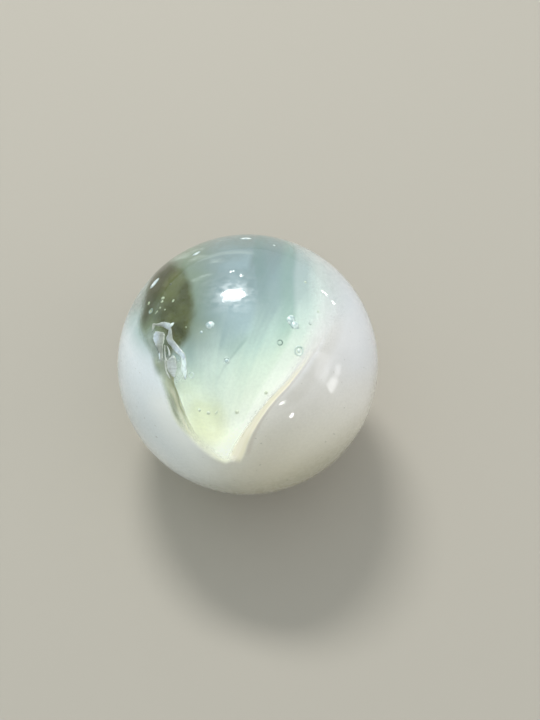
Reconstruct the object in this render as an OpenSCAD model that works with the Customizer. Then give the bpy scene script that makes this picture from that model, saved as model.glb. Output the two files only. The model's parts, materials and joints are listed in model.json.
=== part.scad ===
// Glass marble, one solid ball of milky white glass with a clear tinted window
// in its upper side. A cold fold runs down one edge of the window, where the two
// flows of hot glass closed over a little air and never quite joined. The fold
// is an open crease in the ball: a long tapering groove with a wider mouth.
// +Z points up, the origin is at the centre of the ball.

/* [Ball] */
// Diameter of the ball
ball_d = 16; // [14:0.5:25]

/* [Fold: place on the ball] */
// Bearing of the fold's head, turned from +X towards +Y, in degrees
fold_bearing = 189; // [150:1:210]
// Height of the fold's head over the equator, in degrees
fold_height = 51; // [30:1:60]
// Way that the fold runs, turned from straight down the ball, in degrees
fold_turn = 78; // [60:1:100]
// Length of the fold round the ball, in degrees
fold_arc = 47; // [40:1:60]

/* [Fold: groove] */
// Width of the groove across its middle
groove_w = 0.55; // [0.4:0.05:0.8]
// Depth of the groove at its middle, from where it runs out to both ends
groove_depth = 0.25; // [0.1:0.05:0.3]

/* [Fold: mouth] */
// Diameter of each of the round hollows that make up the mouth
hollow_d = 1.7; // [1:0.1:2]
// Depth of each hollow
hollow_depth = 0.25; // [0.1:0.05:0.4]
// Number of hollows in a row
hollow_count = 3; // [1:1:4]
// Step from one hollow to the next, as a share of a hollow's diameter
hollow_step = 0.6; // [0.5:0.05:0.8]

/* [Hidden] */
$fn = 96;
ball_r = ball_d / 2;

// Radius of the round cutter that leaves an opening of width w and depth d
function cutter_r(w, d) = (w * w / 4 + d * d) / (2 * d);

// A point on the ball's skin, out along +X, turned onto the fold's line.
// angle counts in degrees from the fold's head
module on_fold(angle) {
    rotate([0, -fold_height, fold_bearing])
        rotate([fold_turn, 0, 0])
            rotate([0, angle, 0])
                children();
}

// A ring larger than the ball, moved back so that it dips into the skin by the
// groove's depth at the middle of the fold and leaves it again at both ends
module groove() {
    tube_r = cutter_r(groove_w, groove_depth);
    reach = ball_r + tube_r;
    rise = reach * (1 - cos(fold_arc / 2)) - groove_depth;
    back = groove_depth * (reach - groove_depth / 2) / rise;
    on_fold(fold_arc / 2)
        translate([-back, 0, 0])
            rotate([90, 0, 0])
                rotate_extrude()
                    translate([reach + back - groove_depth, 0])
                        circle(r = tube_r);
}

// The row of round hollows that widens the head of the fold
module mouth() {
    dish_r = cutter_r(hollow_d, hollow_depth);
    step = hollow_step * hollow_d / ball_r * 180 / PI;
    for (i = [0 : hollow_count - 1])
        on_fold((i + 0.75) * step)
            translate([ball_r + dish_r - hollow_depth, 0, 0])
                sphere(r = dish_r);
}

module marble() {
    color("whitesmoke")
        difference() {
            sphere(d = ball_d);
            groove();
            mouth();
        }
}

marble();
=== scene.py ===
"""Looks of a glass marble: milky opal glass with a clear tinted window and a cold fold.

The ball lies with its window in the upper side. Light goes through the clear glass of the window
down to the milky heart of the ball, which carries the tints. A cold fold with silvery air under its
lips runs down the left edge of the window, and small bubbles hang in the clear glass.
"""

import json
import logging
import math
from dataclasses import dataclass, field
from enum import Enum

import bmesh
import bpy
import numpy as np
from mathutils import Euler, Matrix, Vector, noise

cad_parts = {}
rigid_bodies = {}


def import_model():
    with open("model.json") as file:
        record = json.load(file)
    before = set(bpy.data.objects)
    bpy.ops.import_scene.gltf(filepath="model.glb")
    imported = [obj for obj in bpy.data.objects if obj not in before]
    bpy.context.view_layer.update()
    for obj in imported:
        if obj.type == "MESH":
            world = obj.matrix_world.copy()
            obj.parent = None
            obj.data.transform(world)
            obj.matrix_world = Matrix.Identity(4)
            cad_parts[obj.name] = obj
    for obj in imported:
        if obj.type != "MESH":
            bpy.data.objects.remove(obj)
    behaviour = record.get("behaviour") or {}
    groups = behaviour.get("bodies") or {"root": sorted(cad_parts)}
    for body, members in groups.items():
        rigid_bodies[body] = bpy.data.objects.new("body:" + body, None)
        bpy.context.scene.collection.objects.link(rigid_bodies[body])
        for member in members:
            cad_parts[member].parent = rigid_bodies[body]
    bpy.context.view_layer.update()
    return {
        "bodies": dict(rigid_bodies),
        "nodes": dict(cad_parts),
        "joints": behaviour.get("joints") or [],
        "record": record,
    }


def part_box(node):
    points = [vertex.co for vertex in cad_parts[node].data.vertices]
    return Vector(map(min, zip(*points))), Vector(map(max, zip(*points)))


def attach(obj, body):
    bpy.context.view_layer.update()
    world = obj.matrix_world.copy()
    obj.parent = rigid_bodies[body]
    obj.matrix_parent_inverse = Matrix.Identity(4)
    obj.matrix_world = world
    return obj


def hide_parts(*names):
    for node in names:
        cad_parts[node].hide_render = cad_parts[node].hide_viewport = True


log = logging.getLogger("marble")
MM = 0.001
# Numbers of the Mix node's sockets when it mixes colours
MIX_FACTOR, MIX_FIRST, MIX_SECOND, MIX_RESULT = 0, 6, 7, 2


# ---------------------------------------------------------------------------------------------
# Shader maths
# ---------------------------------------------------------------------------------------------


class Value:
    """A number that comes out of a shader socket. Arithmetic on it adds Math nodes."""

    def __init__(self, tree: "Shader", socket: bpy.types.NodeSocket) -> None:
        """Wraps a socket of one material's tree.

        Args:
            tree: the shader that the socket belongs to.
            socket: the output socket that carries the number.
        """
        self.tree = tree
        self.socket = socket

    def _maths(self, operation: str, *values: "Value | float") -> "Value":
        """Adds one Math node.

        Args:
            operation: the Math node's operation.
            values: its inputs in order.

        Returns:
            The node's output as a Value.
        """
        node = self.tree.add("ShaderNodeMath", {"operation": operation}, dict(enumerate(values)))
        return Value(self.tree, node.outputs[0])

    def __add__(self, other: "Value | float") -> "Value":
        """Sum."""
        return self._maths("ADD", self, other)

    __radd__ = __add__

    def __sub__(self, other: "Value | float") -> "Value":
        """Difference."""
        return self._maths("SUBTRACT", self, other)

    def __rsub__(self, other: float) -> "Value":
        """Difference from a plain number."""
        return self._maths("SUBTRACT", other, self)

    def __mul__(self, other: "Value | float") -> "Value":
        """Product."""
        return self._maths("MULTIPLY", self, other)

    __rmul__ = __mul__

    def __truediv__(self, other: "Value | float") -> "Value":
        """Quotient."""
        return self._maths("DIVIDE", self, other)

    def __abs__(self) -> "Value":
        """Size without sign."""
        return self._maths("ABSOLUTE", self)

    def most(self, other: "Value | float") -> "Value":
        """The larger of two numbers."""
        return self._maths("MAXIMUM", self, other)

    def power(self, exponent: float) -> "Value":
        """This number raised to a power."""
        return self._maths("POWER", self, exponent)

    def step(self, low: float, high: float, to_low: float = 0.0, to_high: float = 1.0) -> "Value":
        """Rises smoothly from to_low at low to to_high at high.

        Args:
            low: where the rise starts.
            high: where it ends; below low for a fall.
            to_low: the result at and before low.
            to_high: the result at and past high.

        Returns:
            The smoothed step.
        """
        ends = {"From Min": low, "From Max": high, "To Min": to_low, "To Max": to_high}
        node = self.tree.add(
            "ShaderNodeMapRange", {"interpolation_type": "SMOOTHSTEP"}, {"Value": self} | ends
        )
        return Value(self.tree, node.outputs["Result"])


Colour = tuple[float, float, float]
Socket = bpy.types.NodeSocket


def srgb(code: str) -> Colour:
    """Turns a colour code such as 'C8D0D2' into linear red, green and blue.

    Args:
        code: six hexadecimal digits.

    Returns:
        The three linear channels.
    """
    channels = [int(code[i : i + 2], 16) / 255 for i in (0, 2, 4)]
    return tuple(c / 12.92 if c <= 0.04045 else ((c + 0.055) / 1.055) ** 2.4 for c in channels)


class Shader:
    """The node tree of a material or of the sky, built up by expressions."""

    def __init__(self, owner: bpy.types.Material | bpy.types.World) -> None:
        """Starts an empty tree.

        Args:
            owner: the new material or sky.
        """
        self.owner = owner
        owner.use_nodes = True
        self.nodes = owner.node_tree.nodes
        self.links = owner.node_tree.links
        self.nodes.clear()

    @classmethod
    def material(cls, name: str) -> "Shader":
        """Starts a material's shader."""
        return cls(bpy.data.materials.new(name))

    def add(
        self, kind: str, settings: dict | None = None, sockets: dict | None = None
    ) -> bpy.types.Node:
        """Adds any node.

        Args:
            kind: the node's type name.
            settings: attributes that are set first; 'stops' sets a colour ramp's stops.
            sockets: input values or links by socket name or number.

        Returns:
            The new node.
        """
        node = self.nodes.new(kind)
        for key, value in (settings or {}).items():
            if key == "stops":
                self._ramp(node, value)
            else:
                setattr(node, key, value)
        for key, value in (sockets or {}).items():
            self._feed(node.inputs[key], value)
        return node

    def _feed(self, socket: bpy.types.NodeSocket, value: object) -> None:
        """Links an input to a Value or a socket, or sets it to a constant.

        Args:
            socket: the input.
            value: what goes in; a colour has three channels.
        """
        if isinstance(value, Value):
            value = value.socket
        if isinstance(value, bpy.types.NodeSocket):
            self.links.new(value, socket)
        elif isinstance(value, tuple) and socket.type == "RGBA":
            socket.default_value = (*value, 1.0)
        else:
            socket.default_value = value

    def principled(self, **sockets: object) -> bpy.types.Node:
        """Adds a surface; Base_Color sets the socket Base Color, and so on."""
        named = {key.replace("_", " "): value for key, value in sockets.items()}
        return self.add("ShaderNodeBsdfPrincipled", {}, named)

    def _ramp(self, node: bpy.types.Node, stops: list[tuple[float, Colour]]) -> None:
        """Sets a colour ramp's stops, lowest first."""
        elements = node.color_ramp.elements
        while len(elements) < len(stops):
            elements.new(1.0)
        for element, (place, colour) in zip(elements, stops, strict=True):
            element.position = place
            element.color = (*colour, 1.0)

    def value(self, socket: bpy.types.NodeSocket) -> Value:
        """Wraps a socket for arithmetic."""
        return Value(self, socket)

    def attribute(self, name: str) -> Value:
        """A number stored on the mesh's points."""
        node = self.add("ShaderNodeAttribute", {"attribute_name": name})
        return self.value(node.outputs["Fac"])

    def place(self, turn: Euler, size: float) -> bpy.types.NodeSocket:
        """Object coordinates, turned and divided by a size.

        Args:
            turn: the rotation that brings the pattern's axes onto X, Y and Z.
            size: the length that becomes one.

        Returns:
            The turned vector's socket.
        """
        where = self.add("ShaderNodeTexCoord").outputs["Object"]
        moves = {"Vector": where, "Rotation": tuple(turn), "Scale": (1 / size,) * 3}
        return self.add("ShaderNodeMapping", {"vector_type": "POINT"}, moves).outputs["Vector"]

    def axes(self, vector: bpy.types.NodeSocket) -> tuple[Value, Value, Value]:
        """The three numbers of a vector."""
        split = self.add("ShaderNodeSeparateXYZ", {}, {0: vector})
        return tuple(self.value(split.outputs[i]) for i in range(3))

    def noise(
        self,
        vector: bpy.types.NodeSocket,
        scale: float,
        detail: float = 2.0,
        stretch: tuple[float, float, float] = (1, 1, 1),
        shift: tuple[float, float, float] = (0, 0, 0),
        distortion: float = 0.0,
    ) -> Value:
        """Soft cloudy noise, from 0 to 1 with its middle at a half.

        Args:
            vector: where the noise is read.
            scale: cells for each unit.
            detail: how many finer layers are added.
            stretch: scale along each axis before the noise is read.
            shift: moves the pattern, so that two noises differ.
            distortion: how far the pattern is stirred.

        Returns:
            The noise.
        """
        moves = {"Vector": vector, "Scale": stretch, "Location": shift}
        moved = self.add("ShaderNodeMapping", {}, moves).outputs[0]
        grain = {"Vector": moved, "Scale": scale, "Detail": detail, "Distortion": distortion}
        return self.value(self.add("ShaderNodeTexNoise", {}, grain).outputs["Fac"])

    def ramp(self, value: Value, stops: list[tuple[float, Colour]]) -> bpy.types.NodeSocket:
        """A colour that changes with a number.

        Args:
            value: the number, from 0 to 1.
            stops: places and their colours, lowest first.

        Returns:
            The colour's socket.
        """
        return self.add("ShaderNodeValToRGB", {"stops": stops}, {"Fac": value}).outputs["Color"]

    def mix(
        self,
        amount: Value | float,
        first: bpy.types.NodeSocket | Colour,
        second: bpy.types.NodeSocket | Colour,
    ) -> bpy.types.NodeSocket:
        """Blends two colours.

        Args:
            amount: share of the second colour.
            first: the colour at 0.
            second: the colour at 1.

        Returns:
            The blended colour's socket.
        """
        parts = {MIX_FACTOR: amount, MIX_FIRST: first, MIX_SECOND: second}
        return self.add("ShaderNodeMix", {"data_type": "RGBA"}, parts).outputs[MIX_RESULT]

    def cover(
        self, colour: Socket | Colour, layers: tuple[tuple[Value, Socket | Colour], ...]
    ) -> Socket:
        """Lays colours over one another.

        Args:
            colour: the colour below.
            layers: how much each one covers, and its colour, lowest first.

        Returns:
            The colour on top.
        """
        for amount, shade in layers:
            colour = self.mix(amount, colour, shade)
        return colour

    def mix_shaders(
        self,
        amount: bpy.types.NodeSocket | Value,
        first: bpy.types.Node,
        second: bpy.types.Node,
    ) -> bpy.types.Node:
        """Blends two shaders; the second shows where amount is 1."""
        parts = {0: amount, 1: first.outputs[0], 2: second.outputs[0]}
        return self.add("ShaderNodeMixShader", {}, parts)

    def finish(self, surface: bpy.types.Node) -> bpy.types.Material | bpy.types.World:
        """Joins a surface shader to the output and hands back what it dresses."""
        use = "World" if isinstance(self.owner, bpy.types.World) else "Material"
        self.add(f"ShaderNodeOutput{use}", {}, {"Surface": surface.outputs[0]})
        return self.owner


# ---------------------------------------------------------------------------------------------
# Places on the ball
# ---------------------------------------------------------------------------------------------


def smooth_line(knots: np.ndarray, places: np.ndarray) -> np.ndarray:
    """Reads a smooth line that runs through knots.

    Args:
        knots: the knots, one a row.
        places: where to read it, counted in knots from the first one.

    Returns:
        The line's points, one a row.
    """
    ends = np.vstack([2 * knots[0] - knots[1], knots, 2 * knots[-1] - knots[-2]])
    first = np.clip(places.astype(int), 0, len(knots) - 2)
    t = (places - first)[:, None]
    a, b, c, d = (ends[first + i] for i in range(4))
    bend = (2 * a - 5 * b + 4 * c - d) * t**2 + (3 * b - a - 3 * c + d) * t**3
    return 0.5 * (2 * b + (c - a) * t + bend)


def direction(bearing: float, height: float) -> Vector:
    """A unit vector from the ball's centre.

    Args:
        bearing: degrees round from +X towards +Y.
        height: degrees over the equator.

    Returns:
        The direction.
    """
    b, h = math.radians(bearing), math.radians(height)
    return Vector((math.cos(h) * math.cos(b), math.cos(h) * math.sin(b), math.sin(h)))


@dataclass(frozen=True)
class Ball:
    """The ball as the frame gives it."""

    centre: Vector
    radius: float

    @classmethod
    def from_frame(cls) -> "Ball":
        """Reads the ball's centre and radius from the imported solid."""
        low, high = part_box("marble")
        return cls(centre=(low + high) / 2, radius=(high.z - low.z) / 2)

    @property
    def millimetres(self) -> float:
        """The radius in millimetres."""
        return self.radius / MM

    def rays(self, points: np.ndarray) -> np.ndarray:
        """Unit vectors from the centre to points, one a row."""
        rays = points - np.array(self.centre)
        return rays / np.linalg.norm(rays, axis=1, keepdims=True)

    def spot(self, bearing: float, height: float, depth: float = 0.0) -> Vector:
        """A point under the skin.

        Args:
            bearing: degrees round from +X towards +Y.
            height: degrees over the equator.
            depth: distance below the skin, in millimetres.

        Returns:
            The point, in metres.
        """
        return self.centre + direction(bearing, height) * (self.radius - depth * MM)


@dataclass(frozen=True)
class Edge:
    """One edge of the window, as a smooth line over the ball from the point of the V.

    Its points are bearings and heights in degrees. inner is 1 where the window lies on the left
    of someone who walks along the line, and -1 where it lies on the right.
    """

    points: tuple[tuple[float, float], ...]
    inner: float
    samples: int = 8

    def line(self) -> np.ndarray:
        """The edge as closely spaced unit vectors."""
        knots = np.array([direction(*p) for p in self.points])
        places = np.linspace(0, len(knots) - 1, (len(knots) - 1) * self.samples + 1)
        line = smooth_line(knots, places)
        return line / np.linalg.norm(line, axis=1, keepdims=True)

    def measure(self, rays: np.ndarray) -> tuple[np.ndarray, np.ndarray]:
        """How far each direction lies inside the edge, and how far along it.

        Args:
            rays: unit vectors, one a row.

        Returns:
            The angle to the edge in radians, positive on the window's side, and the share of the
            edge's knots that lie before the nearest point.
        """
        line = self.line()
        best = np.full(len(rays), np.inf)
        side = np.zeros(len(rays))
        along = np.zeros(len(rays))
        for i, (a, b) in enumerate(zip(line[:-1], line[1:])):
            run = b - a
            share = np.clip((rays - a) @ run / (run @ run), 0, 1)
            gap = rays - (a + share[:, None] * run)
            far = np.linalg.norm(gap, axis=1)
            nearer = far < best
            best = np.where(nearer, far, best)
            across = np.cross(a, run)
            side = np.where(nearer, rays @ across, side)
            along = np.where(nearer, (i + share) / (len(line) - 1), along)
        return best * np.sign(side) * self.inner, along


@dataclass(frozen=True)
class Window:
    """The V-shaped window of clear glass in the ball's skin.

    left_soft and right_soft pair a share of the edge with its softness there in millimetres.
    """

    left: Edge = Edge(
        points=(
            (262, 13.2),
            (255, 17),
            (248, 21),
            (242, 24.5),
            (235, 28),
            (228, 33),
            (220, 38),
            (209, 41.5),
            (195, 40.5),
            (182, 37),
            (173, 37.5),
            (167.5, 37),
            (161.5, 35),
            (154, 31.5),
            (140, 25),
            (120, 19),
            (100, 17),
        ),
        inner=-1.0,
    )
    right: Edge = Edge(
        points=(
            (262, 13.2),
            (264.5, 18),
            (267, 25.5),
            (271, 33),
            (276.5, 39.5),
            (285, 45.5),
            (297, 50),
            (311, 53.7),
            (327, 55.7),
            (341, 56),
            (357, 54.5),
            (371, 53.5),
            (391, 52),
            (413, 44),
            (438, 28),
            (460, 17),
        ),
        inner=1.0,
    )
    left_soft: tuple[tuple[float, float], ...] = (
        (0, 0.6),
        (0.2, 0.7),
        (0.45, 0.5),
        (0.7, 0.7),
        (1, 1.6),
    )
    right_soft: tuple[tuple[float, float], ...] = (
        (0, 0.5),
        (0.4, 0.5),
        (0.5, 0.9),
        (0.6, 2.0),
        (1, 2.4),
    )
    clear_range: tuple[float, float] = (-4, 40)

    def fields(self, ball: Ball, points: np.ndarray) -> dict[str, np.ndarray]:
        """What the window does at each point of a mesh.

        Args:
            ball: the ball.
            points: places, in metres.

        Returns:
            Named numbers for each point: clear (how far inside the window, over the edge's
            softness), left and right (millimetres inside each edge), and run (place along the
            right edge, in knots from the point of the V).
        """
        rays = ball.rays(points)
        left, left_along = self.left.measure(rays)
        right, right_along = self.right.measure(rays)
        left, right = left * ball.millimetres, right * ball.millimetres
        clear = np.minimum(
            left / np.interp(left_along, *zip(*self.left_soft)),
            right / np.interp(right_along, *zip(*self.right_soft)),
        )
        return {
            "clear": np.clip(clear, *self.clear_range),
            "left": left,
            "right": right,
            "run": right_along * (len(self.right.points) - 1),
        }


@dataclass(frozen=True)
class Fold:
    """The cold fold, with the sizes that its groove and mouth have in the solid.

    blur rounds its lips and wander bends them, both in millimetres.
    """

    bearing: float = 189
    height: float = 51
    turn: float = 78
    arc: float = 47
    groove_w: float = 0.55
    groove_depth: float = 0.25
    hollow_d: float = 1.7
    hollow_depth: float = 0.25
    hollow_count: int = 3
    hollow_step: float = 0.6
    blur: float = 0.035
    wander: float = 0.07

    def turned(self) -> Matrix:
        """The turn that brings +X to the fold's head and +Y across the fold to the window."""
        return (
            Matrix.Rotation(math.radians(self.bearing), 3, "Z")
            @ Matrix.Rotation(math.radians(-self.height), 3, "Y")
            @ Matrix.Rotation(math.radians(self.turn), 3, "X")
        )

    def measure(self, ball: Ball, points: np.ndarray) -> tuple[np.ndarray, np.ndarray]:
        """Where points lie on the fold.

        Args:
            ball: the ball.
            points: places, in metres.

        Returns:
            Millimetres down the fold from its head, and millimetres across it.
        """
        local = (points - np.array(ball.centre)) @ np.array(self.turned())
        size = np.linalg.norm(local, axis=1)
        along = np.arctan2(-local[:, 2], local[:, 0]) * ball.millimetres
        across = np.arcsin(local[:, 1] / size) * ball.millimetres
        return along, across

    def spot(self, ball: Ball, along: float, across: float, depth: float = 0.0) -> Vector:
        """A point by its place on the fold.

        Args:
            ball: the ball.
            along: millimetres down the fold from its head.
            across: millimetres across it, towards the window.
            depth: millimetres below the skin.

        Returns:
            The point, in metres.
        """
        a, c = along / ball.millimetres, across / ball.millimetres
        ray = Vector((math.cos(c) * math.cos(a), math.sin(c), -math.cos(c) * math.sin(a)))
        return ball.centre + (self.turned() @ ray) * (ball.radius - depth * MM)

    def depth(self, ball: Ball, points: np.ndarray) -> np.ndarray:
        """How deep the groove and the hollows cut below the skin, in millimetres."""
        along, across = self.measure(ball, points)
        along, across = self._stir(along, across)
        length = math.radians(self.arc) * ball.millimetres
        tube = self._cutter(self.groove_w, self.groove_depth)
        swing = (2 * along / length - 1) ** 2
        sunk = np.sqrt(np.maximum(tube**2 - across**2, 0)) - tube + self.groove_depth * (1 - swing)
        cut = np.where(np.abs(across) < tube, np.maximum(sunk, 0), 0)
        dish = self._cutter(self.hollow_d, self.hollow_depth)
        for i in range(self.hollow_count):
            middle = (i + 0.75) * self.hollow_step * self.hollow_d
            far = (along - middle) ** 2 + across**2
            hollow = np.sqrt(np.maximum(dish**2 - far, 0)) - dish + self.hollow_depth
            hollow += far / (2 * ball.millimetres)
            cut = np.maximum(cut, np.where(far < self.hollow_d**2, hollow, 0))
        return np.sqrt(cut**2 + self.blur**2) - self.blur

    @staticmethod
    def _cutter(width: float, depth: float) -> float:
        """Radius of the round cutter that leaves an opening of a width and depth."""
        return (width**2 / 4 + depth**2) / (2 * depth)

    def _stir(self, along: np.ndarray, across: np.ndarray) -> tuple[np.ndarray, np.ndarray]:
        """Bends the fold's coordinates a little, so that its lips wander."""
        wander = self.wander * np.sin(along * 2.3 + 0.7) * np.sin(across * 3.1 + along * 0.9)
        drift = self.wander * np.sin(along * 3.7 - across * 2.0 + 1.9)
        return along + wander, across + drift


# ---------------------------------------------------------------------------------------------
# Finishes
# ---------------------------------------------------------------------------------------------

# Turns the way that the window faces, 60 degrees over the floor, onto +Z
WINDOW_TURN = Euler((math.radians(-30), 0, 0))
BLACK: Colour = (0.0, 0.0, 0.0)


@dataclass(frozen=True)
class Reading:
    """What a glass material reads at a point.

    side, up and near count in ball radii from the middle of the window's face. left and right
    are millimetres inside the window's edges.
    """

    where: bpy.types.NodeSocket
    side: Value
    up: Value
    near: Value
    left: Value
    right: Value

    @classmethod
    def of(cls, sh: Shader, size: float) -> "Reading":
        """Adds the nodes that read the point.

        Args:
            sh: the shader.
            size: the length that counts as one ball radius.

        Returns:
            The reading.
        """
        where = sh.place(WINDOW_TURN, size)
        return cls(where, *sh.axes(where), sh.attribute("left"), sh.attribute("right"))

    def flow(self) -> Value:
        """Place along the way that the tints run, up the window and to the left."""
        return self.up - self.side * 0.5

    @staticmethod
    def share(flow: Value) -> Value:
        """A place along that way as a share of the tints' length, for a ramp."""
        return (flow + 0.6) / 1.6


@dataclass(frozen=True)
class Stripe:
    """A soft line that runs along the fold or along the window's right edge.

    It lies between outer and inner across the fold or edge, and from start to end along it.
    Widths are in millimetres. Places along the fold are too, and places along the window's edge
    count in the edge's knots. It fades in over fade and out over fade_end, flare widens its start
    on the outer side, and glow is the strength of its painted glow, given as emission.
    """

    colour: Colour
    outer: float
    inner: float
    start: float
    end: float
    strength: float
    soft: float = 0.08
    soft_outer: float = 0.08
    fade: float = 0.5
    fade_end: float = 1.2
    flare: float = 0.0
    glow: float = 0.0
    flare_length: float = 2.4

    def mask(self, along: Value, across: Value) -> Value:
        """How strongly the line shows.

        Args:
            along: place along the line.
            across: millimetres across it, towards the window.

        Returns:
            The mask, from 0 to strength.
        """
        flare_end = self.start + self.flare_length
        outer = along.step(self.start, flare_end, self.outer - self.flare, self.outer)
        line = (across - outer).step(-self.soft_outer, self.soft_outer)
        line = line * (self.inner - across).step(-self.soft, self.soft)
        run = along.step(self.start, self.start + self.fade)
        run = run * along.step(self.end, self.end - self.fade_end)
        return line * run * self.strength


@dataclass(frozen=True)
class SkinFinish:
    """Polished skin: opal glass that gives way to clear glass in the window.

    opal runs from the bottom of the ball to the top, darker and warmer below, partly as painted
    shade and partly as the opal's own tone; haze is the greatest share of a dull coat that makes
    highlights ragged, and milkiness is how far light spreads, in millimetres.
    """

    # The lower stops are darker and warmer: painted shade in part, the opal's own warm tone in
    # part.
    opal: tuple[tuple[float, Colour], ...] = (
        (0.02, srgb("C2BEA9")),
        (0.15, srgb("D3CFBD")),
        (0.32, srgb("DFDCD0")),
        (0.50, srgb("E9E7E2")),
        (0.66, srgb("E9E9E9")),
    )
    # Painted cool light on the opal's left side.
    opal_painted_cool_light: Colour = srgb("DDE7EB")
    # Painted shade on the opal's upper right.
    opal_shade: Colour = srgb("C6CED4")
    opal_thin: Colour = srgb("A3B9B6")
    opal_smoke: Colour = srgb("7C8376")
    # Grey of the thinning opal by the window's upper right edge, partly painted shade.
    opal_mist_and_painted_shade: Colour = srgb("B9C3C2")
    # Painted shade on the opal right of the window.
    opal_painted_shade_right: Colour = srgb("BFBBAF")
    # Painted cool sky light on the opal's right side.
    opal_painted_sky_light: Colour = srgb("E2E6EE")
    # Painted light on the opal left of the window's lower part.
    opal_painted_light: Colour = srgb("F2F5F0")
    # Painted shade on the opal's lower and right rim.
    opal_painted_rim_shade: Colour = srgb("A8A58F")
    speck: Colour = srgb("9A9A8E")
    straw: Colour = srgb("EEF1D6")
    fold_lines: tuple[Stripe, ...] = (
        # The two grey-green lines on the fold's outer side are painted shade beside the fold.
        Stripe(srgb("8A978B"), -0.90, -0.58, -0.2, 3.7, 0.9, 0.10, 0.26, 1.2, 1.6, 0.50),
        Stripe(srgb("8A978B"), -0.78, -0.06, 1.5, 3.6, 0.7, 0.06, 0.24, 1.3, 1.6),
        Stripe(srgb("9BA58C"), -0.42, 0.34, 1.7, 7.4, 0.9, 0.07, 0.22, 0.8, 2.4, 0.45),
        Stripe(srgb("CFE2CF"), 0.42, 1.25, 2.3, 3.9, 0.7, 0.2, 0.1, 0.4, 0.8),
        Stripe(srgb("A1A685"), -0.22, 0.34, 3.0, 6.0, 0.75, 0.07, 0.16, 0.4, 1.4),
        Stripe(srgb("83865F"), 0.15, 0.34, 3.2, 5.4, 0.9, 0.06, 0.06, 0.25, 1.4),
        Stripe(srgb("B9BF9C"), 0.12, 0.32, 4.6, 7.4, 0.75, 0.06, 0.06, 0.6, 1.2),
        Stripe(srgb("8F9580"), -0.42, -0.24, 3.9, 6.4, 0.85, 0.07, 0.07, 0.8, 1.2),
        Stripe(srgb("D8D8BE"), -0.15, 0.05, 3.6, 7.2, 0.75, 0.06, 0.06, 0.8, 0.8),
    )
    edge_lines: tuple[Stripe, ...] = (
        # The three cream lines also carry a painted glow, their last number, given as emission.
        Stripe(srgb("E3E0C9"), -0.38, 0.34, 0.3, 9.0, 1.0, 0.14, 0.12, 0.9, 4.5, 0.0, 0.24),
        Stripe(srgb("EFECDA"), -0.10, 0.26, 0.2, 5.0, 0.7, 0.10, 0.10, 0.6, 2.0, 0.0, 0.30),
        Stripe(srgb("F6F0DC"), -0.36, -0.16, 2.2, 8.0, 0.8, 0.08, 0.08, 1.0, 2.5, 0.0, 0.30),
        # Painted shadow: the pink-brown line just outside the cream strip.
        Stripe(srgb("C2B6A8"), -0.72, -0.46, 1.0, 10.5, 0.3, 0.12, 0.12, 0.8, 3.0),
    )
    streak: Stripe = Stripe(srgb("DAD7C8"), -1.02, -0.92, 1.3, 3.0, 0.5, 0.04, 0.04, 0.5, 0.6)
    clear_top: Colour = srgb("CBDADB")
    clear_middle: Colour = srgb("DCEEE6")
    clear_low: Colour = srgb("F8FCF0")
    haze: float = 0.5
    haze_roughness: float = 0.3
    milkiness: float = 2.0
    ior: float = 1.5
    roughness: float = 0.02

    def build(self, ball: Ball) -> bpy.types.Material:
        """Makes the material.

        Args:
            ball: the ball, for the pattern's size.

        Returns:
            The material.
        """
        sh = Shader.material("opal_and_clear_glass")
        at = Reading.of(sh, ball.radius)
        tone = self._opal(sh, at)
        tone = self._upper_left(sh, at, tone)
        tone = self._flanks(sh, at, tone)
        tone = self._borders(sh, at, tone)
        tip = at.left.step(-0.45, 0.1) * at.right.step(-0.15, 0.3) * at.up.step(-0.2, -0.45)
        tip = tip * at.up.step(-0.748, -0.68)
        tone = sh.mix(tip * 0.8, tone, self.straw)
        paint, painted_glow, tone = self._seams(sh, at, tone)
        # Painted glow, as emission, at the window's point.
        painted_glow = painted_glow.most(tip * at.up.step(-0.3, -0.6) * 0.4)
        smear = sh.noise(at.where, 16.0, detail=5, stretch=(1.0, 1.6, 1.0), distortion=1.0)
        polish = {
            "Roughness": self.roughness,
            "IOR": self.ior,
            "Coat_Weight": smear.step(0.36, 0.64) * self.haze,
            "Coat_Roughness": self.haze_roughness,
        }
        opal = sh.principled(
            Base_Color=tone,
            Subsurface_Weight=1.0,
            Subsurface_Radius=(1.0, 1.0, 1.0),
            Subsurface_Scale=self.milkiness * MM,
            # Painted glow: emission on the cream lines and at the window's point.
            Emission_Color=sh.mix(painted_glow, BLACK, tone),
            Emission_Strength=1.0,
            **polish,
        )
        stops = [(0.1, self.clear_low), (0.4, self.clear_middle), (0.7, self.clear_top)]
        tint = sh.ramp(at.share(at.flow()), stops)
        glass = sh.principled(Base_Color=tint, Transmission_Weight=1.0, **polish)
        solid = sh.mix_shaders(self._open_share(sh, at, paint), opal, glass)
        rays = sh.add("ShaderNodeLightPath").outputs
        let_in = sh.add("ShaderNodeBsdfTransparent")
        lit = sh.mix_shaders(rays["Is Diffuse Ray"], solid, let_in)
        return sh.finish(sh.mix_shaders(rays["Is Shadow Ray"], lit, let_in))

    def _opal(self, sh: Shader, at: Reading) -> Socket:
        """The milky glass: darker and warmer below, in part painted shade; painted cool light on
        the left and painted shade at the upper right.

        Args:
            sh: the shader.
            at: what it reads.

        Returns:
            The colour.
        """
        cloud = sh.noise(at.where, 2.2, detail=3, distortion=0.6)
        wisps = sh.noise(at.where, 3.0, detail=3, stretch=(2.6, 1.4, 1.0), shift=(3, 1, 2))
        # Darker and warmer towards the bottom: partly painted shade.
        tone = sh.ramp((at.up + 1 + (cloud - 0.5) * 0.12) / 1.5, list(self.opal))
        # Painted cool light on the left side.
        tone = sh.mix(at.side.step(0.2, -0.7) * 0.75, tone, self.opal_painted_cool_light)
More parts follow.
